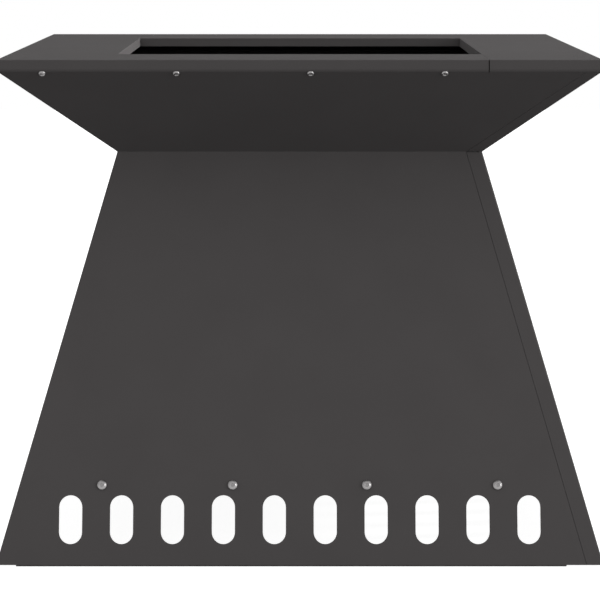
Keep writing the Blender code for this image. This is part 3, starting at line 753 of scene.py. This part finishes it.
low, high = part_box("fire_box")
box_rim = high.x
box_under = high.z - BOX_SHEET
box_low = low.z
ledge_reach = foot_half_at(WAIST_HEIGHT - LEDGE_DROP, SHEET + TOUCH) - LEDGE_REACH
box_wall = ledge_reach - BOX_CLEARANCE
profile = [
    Vector((box_rim, box_under)),
    Vector((box_wall, box_under)),
    Vector((box_wall, box_low)),
    Vector((box_wall / 2, box_low)),
]
outer, inner = both_faces(profile, (BOX_BEND, BOX_BEND), -BOX_SHEET)


def square_row(point, radius):
    """One height of the tub, round its four corners."""
    half, height = point
    row = []
    for corner in range(4):
        centre = Matrix.Rotation(math.pi / 2 * corner, 2) @ Vector((half - radius, half - radius))
        for step in range(BEND_STEPS + 1):
            angle = math.pi / 2 * (corner + step / BEND_STEPS)
            out = Vector((math.cos(angle), math.sin(angle))) * radius
            row.append((*(centre + out), height))
    return row


tub = closed_sheet(
    "fire_box_tub",
    [square_row(point, BOX_CORNER) for point in outer],
    [square_row(point, BOX_CORNER - BOX_SHEET) for point in inner],
    ring=True,
    floor=True,
)
hole_sizes = {"Holes": BOX_HOLES, "Hole Pitch": BOX_HOLE_PITCH, "Hole Radius": BOX_HOLE / 2, "Floor": box_low}
tree, size = new_geometry_tree("air_hole_pattern", hole_sizes)
last_hole = add_node(tree, "ShaderNodeMath", {0: size["Holes"], 1: 1.0}, operation="SUBTRACT")
span = add_node(
    tree, "ShaderNodeMath", {0: last_hole.outputs[0], 1: size["Hole Pitch"]}, operation="MULTIPLY"
)
pattern = add_node(
    tree,
    "GeometryNodeMeshGrid",
    {
        "Size X": span.outputs[0],
        "Size Y": span.outputs[0],
        "Vertices X": size["Holes"],
        "Vertices Y": size["Holes"],
    },
)
drill = add_node(
    tree,
    "GeometryNodeMeshCylinder",
    {"Vertices": ROUND_STEPS, "Radius": size["Hole Radius"], "Depth": 2 * OVERRUN},
)
drills = add_node(
    tree, "GeometryNodeInstanceOnPoints", {"Points": pattern.outputs[0], "Instance": drill.outputs[0]}
)
level = add_node(tree, "ShaderNodeCombineXYZ", {"Z": size["Floor"]})
placed = add_node(
    tree, "GeometryNodeTransform", {"Geometry": drills.outputs[0], "Translation": level.outputs[0]}
)
solid = add_node(tree, "GeometryNodeRealizeInstances", {"Geometry": placed.outputs[0]})
cut = add_node(
    tree,
    "GeometryNodeMeshBoolean",
    {"Mesh 1": size["Geometry"], "Mesh 2": solid.outputs[0]},
    operation="DIFFERENCE",
    solver="EXACT",
)
end_tree(tree, cut.outputs[0], heat_paint)
fire_box = put("fire_box_tub", tub)
settled(soften(run_tree(fire_box, tree, hole_sizes)))
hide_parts("fire_box")
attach(fire_box, "fire_box")


# Lifting handles. Two lengths of 8 mm round steel bar bent to a flat U, their feet welded to the tub's rim,
# and painted with it.

HANDLE_ROD = 8 * MM
HANDLE_BEND = 16 * MM
ROD_STEPS = 6  # of bevel resolution

for side in ("left", "right"):
    low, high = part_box(f"{side}_handle")
    middle_x = (low.x + high.x) / 2
    reach = high.y - HANDLE_ROD / 2
    top = high.z - HANDLE_ROD / 2
    corners = [Vector((-reach, low.z)), Vector((-reach, top)), Vector((reach, top)), Vector((reach, low.z))]
    path = rounded(corners, (HANDLE_BEND, HANDLE_BEND))
    curve = bpy.data.curves.new(f"{side}_handle_rod", "CURVE")
    curve.dimensions = "3D"
    curve.bevel_depth = HANDLE_ROD / 2
    curve.bevel_resolution = ROD_STEPS
    curve.use_fill_caps = True
    spline = curve.splines.new("POLY")
    spline.points.add(len(path) - 1)
    for point, (y, z) in zip(spline.points, path):
        point.co = (middle_x, y, z, 1)
    rod = bpy.data.objects.new(f"{side}_handle_rod", curve)
    bpy.context.scene.collection.objects.link(rod)
    made = bpy.data.meshes.new_from_object(rod.evaluated_get(bpy.context.evaluated_depsgraph_get()))
    bpy.data.objects.remove(rod)
    shape = bmesh.new()
    shape.from_mesh(made)
    handle = put(f"{side}_handle_rod", mesh_of(shape, f"{side}_handle_rod"), heat_paint)
    handle.data.shade_smooth()
    handle.data.set_sharp_from_angle(angle=SMOOTH_ANGLE)
    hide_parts(f"{side}_handle")
    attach(handle, "fire_box")


# Fire grate. Eleven 12 mm square bars of hot rolled steel laid over two upright bearers and welded to
# them. It stands loose on the tub's floor and is left raw, with its blue grey mill scale.

GRATE_BAR = 12 * MM
GRATE_BARS = 11
BEARER_INSET = 80 * MM
BEARER_SINK = 3 * MM
BAR_EDGE = 0.8 * MM

# Hot rolled bar with its mill scale: a dark blue grey oxide skin, patchy, with small rust brown freckles,
# whose real 1 mm flakes are drawn at 6 mm so that they show.
SCALE_LIGHT = "#3f3e3e"
SCALE_DARK = "#262728"
RUST = "#4b2f20"
SCALE_ROUGHNESS = (0.45, 0.8)
SCALE_METALLIC = 0.55
FLAKE_SIZE = 6 * MM
FLAKE_DEPTH = 0.15 * MM
FRECKLE_SIZE = 14 * MM
mill_scale, tree, shader, place = new_finish("hot_rolled_steel")
flakes = add_node(
    tree, "ShaderNodeTexNoise", {"Vector": place, "Scale": 1 / FLAKE_SIZE, "Detail": 6.0, "Roughness": 0.65}
)
oxide = add_node(
    tree,
    "ShaderNodeMix",
    {"Factor": flakes.outputs["Fac"], "A": linear(SCALE_DARK), "B": linear(SCALE_LIGHT)},
    data_type="RGBA",
)
freckles = add_node(
    tree, "ShaderNodeTexNoise", {"Vector": place, "Scale": 1 / FRECKLE_SIZE, "Detail": 5.0, "Roughness": 0.7}
)
amount = add_node(
    tree,
    "ShaderNodeMapRange",
    {"Value": freckles.outputs["Fac"], "From Min": 0.58, "From Max": 0.75, "To Max": 0.6},
)
tone = add_node(
    tree,
    "ShaderNodeMix",
    {"Factor": amount.outputs["Result"], "A": oxide.outputs["Result"], "B": linear(RUST)},
    data_type="RGBA",
)
low, high = SCALE_ROUGHNESS
gloss = add_node(tree, "ShaderNodeMapRange", {"Value": flakes.outputs["Fac"], "To Min": low, "To Max": high})
relief = add_node(
    tree, "ShaderNodeBump", {"Height": flakes.outputs["Fac"], "Strength": 0.3, "Distance": FLAKE_DEPTH}
)
shader.inputs["Metallic"].default_value = SCALE_METALLIC
finish(tree, shader, tone.outputs["Result"], gloss.outputs["Result"], relief.outputs["Normal"])

low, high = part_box("fire_grate")
grate_half = high.x
bars_under = high.z - GRATE_BAR
grate_sizes = {
    "Bars": GRATE_BARS,
    "Bar": GRATE_BAR,
    "Half": grate_half,
    "Under": bars_under,
    "Bearer Foot": low.z,
    "Bearer Top": bars_under + BEARER_SINK,
    "Bearer Place": grate_half - BEARER_INSET,
}
tree, size = new_geometry_tree("grate_bars", grate_sizes)
whole = add_node(tree, "ShaderNodeMath", {0: size["Half"], 1: 2.0}, operation="MULTIPLY")
bar_size = add_node(
    tree, "ShaderNodeCombineXYZ", {"X": size["Bar"], "Y": whole.outputs[0], "Z": size["Bar"]}
)
bar = add_node(tree, "GeometryNodeMeshCube", {"Size": bar_size.outputs[0]})
half_bar = add_node(tree, "ShaderNodeMath", {0: size["Bar"], 1: 0.5}, operation="MULTIPLY")
outside = add_node(
    tree, "ShaderNodeMath", {0: size["Half"], 1: half_bar.outputs[0]}, operation="SUBTRACT"
)
minus = add_node(tree, "ShaderNodeMath", {0: outside.outputs[0], 1: -1.0}, operation="MULTIPLY")
rise = add_node(tree, "ShaderNodeMath", {0: size["Under"], 1: half_bar.outputs[0]}, operation="ADD")
ends = []
for x in (minus.outputs[0], outside.outputs[0]):
    ends.append(add_node(tree, "ShaderNodeCombineXYZ", {"X": x, "Z": rise.outputs[0]}).outputs[0])
row = add_node(
    tree,
    "GeometryNodeMeshLine",
    {"Count": size["Bars"], "Start Location": ends[0], "Offset": ends[1]},
    mode="END_POINTS",
)
bars = add_node(
    tree, "GeometryNodeInstanceOnPoints", {"Points": row.outputs[0], "Instance": bar.outputs[0]}
)
rise = add_node(
    tree, "ShaderNodeMath", {0: size["Bearer Top"], 1: size["Bearer Foot"]}, operation="SUBTRACT"
)
bearer_size = add_node(
    tree, "ShaderNodeCombineXYZ", {"X": whole.outputs[0], "Y": size["Bar"], "Z": rise.outputs[0]}
)
bearer = add_node(tree, "GeometryNodeMeshCube", {"Size": bearer_size.outputs[0]})
sum_of = add_node(
    tree, "ShaderNodeMath", {0: size["Bearer Top"], 1: size["Bearer Foot"]}, operation="ADD"
)
centre = add_node(tree, "ShaderNodeMath", {0: sum_of.outputs[0], 1: 0.5}, operation="MULTIPLY")
minus = add_node(tree, "ShaderNodeMath", {0: size["Bearer Place"], 1: -1.0}, operation="MULTIPLY")
ends = []
for y in (minus.outputs[0], size["Bearer Place"]):
    ends.append(add_node(tree, "ShaderNodeCombineXYZ", {"Y": y, "Z": centre.outputs[0]}).outputs[0])
pair = add_node(
    tree,
    "GeometryNodeMeshLine",
    {"Count": 2, "Start Location": ends[0], "Offset": ends[1]},
    mode="END_POINTS",
)
bearers = add_node(
    tree, "GeometryNodeInstanceOnPoints", {"Points": pair.outputs[0], "Instance": bearer.outputs[0]}
)
solid_bars = add_node(tree, "GeometryNodeRealizeInstances", {"Geometry": bars.outputs[0]})
solid_bearers = add_node(tree, "GeometryNodeRealizeInstances", {"Geometry": bearers.outputs[0]})
joined = add_node(
    tree,
    "GeometryNodeMeshBoolean",
    {"Mesh 2": [solid_bars.outputs[0], solid_bearers.outputs[0]]},
    operation="UNION",
    solver="EXACT",
)
end_tree(tree, joined.outputs[0], mill_scale)
grate = put("grate_of_bars", bpy.data.meshes.new("grate_of_bars"))
settled(soften(run_tree(grate, tree, grate_sizes), BAR_EDGE))
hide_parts("fire_grate")
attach(grate, "fire_grate")


# Studio. A plain pale floor and an even pale surround with two soft lamps: a small one low on the right,
# its beam kept off the floor by a honeycomb grid, and a broad one far to the front right.

WHITE = "#ffffff"
FLOOR_PAINT = "#9f9f9f"
FLOOR_HALF = 9.0
FLOOR_SHARE = 0.95  # of white that the floor shows in full shadow, so that a faint shadow stays
AMBIENT = 1.34  # strength of the surround where it lights the object
SIDE_LAMP = ("side_lamp", Vector((4.2, 0.3, 1.15)), 0.6, 11.2, 30.0)  # place, size, power, spread in degrees
FRONT_LAMP = ("front_lamp", Vector((7.5, -4.6, 1.8)), 3.0, 245.0, 180.0)
LAMP_AIM = Vector((0, 0, 0.7))


def seen_directly(tree):
    """1 where a ray comes from the camera, or through a reflection or glass, and 0 for bounced light."""
    path = add_node(tree, "ShaderNodeLightPath")
    total = path.outputs["Is Camera Ray"]
    for kind in ("Is Glossy Ray", "Is Transmission Ray"):
        total = add_node(
            tree, "ShaderNodeMath", {0: total, 1: path.outputs[kind]}, operation="ADD", use_clamp=True
        ).outputs[0]
    return total


shape = bmesh.new()
bmesh.ops.create_grid(shape, x_segments=1, y_segments=1, size=FLOOR_HALF)
floor_mesh = bpy.data.meshes.new("studio_floor")
shape.to_mesh(floor_mesh)
shape.free()
floor_paint = bpy.data.materials.new("pale_studio_floor")
floor_paint.use_nodes = True
tree = floor_paint.node_tree
tree.nodes.clear()
paint = add_node(tree, "ShaderNodeBsdfDiffuse", {"Color": linear(FLOOR_PAINT)})
glow = add_node(tree, "ShaderNodeEmission", {"Color": linear(WHITE), "Strength": FLOOR_SHARE})
nothing = add_node(tree, "ShaderNodeEmission", {"Strength": 0.0})
pick = add_node(
    tree, "ShaderNodeMixShader", {0: seen_directly(tree), 1: nothing.outputs[0], 2: glow.outputs[0]}
)
both = add_node(tree, "ShaderNodeAddShader", {0: paint.outputs[0], 1: pick.outputs[0]})
add_node(tree, "ShaderNodeOutputMaterial", {"Surface": both.outputs[0]})
put("studio_floor", floor_mesh, floor_paint)

world = bpy.data.worlds.new("pale_surround")
bpy.context.scene.world = world
world.use_nodes = True
tree = world.node_tree
tree.nodes.clear()
strength = add_node(
    tree,
    "ShaderNodeMapRange",
    {"Value": seen_directly(tree), "To Min": AMBIENT, "To Max": 1.0},
)
surround = add_node(
    tree,
    "ShaderNodeBackground",
    {"Color": linear(WHITE), "Strength": strength.outputs["Result"]},
)
add_node(tree, "ShaderNodeOutputWorld", {"Surface": surround.outputs[0]})

for name, place, size, power, spread in (SIDE_LAMP, FRONT_LAMP):
    lamp_data = bpy.data.lights.new(name, "AREA")
    lamp_data.shape = "SQUARE"
    lamp_data.size = size
    lamp_data.energy = power
    lamp_data.spread = math.radians(spread)
    lamp = put(name, lamp_data)
    lamp.location = place
    lamp.rotation_euler = (LAMP_AIM - place).to_track_quat("-Z", "Y").to_euler()


# Camera. A little above the table's height, straight in front, looking slightly down with a long lens.

SENSOR_WIDTH = 36.0  # in millimetres, like the focal length
FOCAL_LENGTH = 153.87
LENS_SHIFT = 0.00036
CAMERA_PLACE = (0, -4.1615, 0.9443)
LOOKING_DOWN = math.radians(8.338)

camera_data = bpy.data.cameras.new("camera")
camera_data.sensor_width = SENSOR_WIDTH
camera_data.lens = FOCAL_LENGTH
camera_data.shift_x = LENS_SHIFT
camera = put("camera", camera_data)
camera.location = CAMERA_PLACE
camera.rotation_euler = (math.pi / 2 - LOOKING_DOWN, 0, 0)
bpy.context.scene.camera = camera
bpy.context.scene.view_settings.view_transform = "Standard"
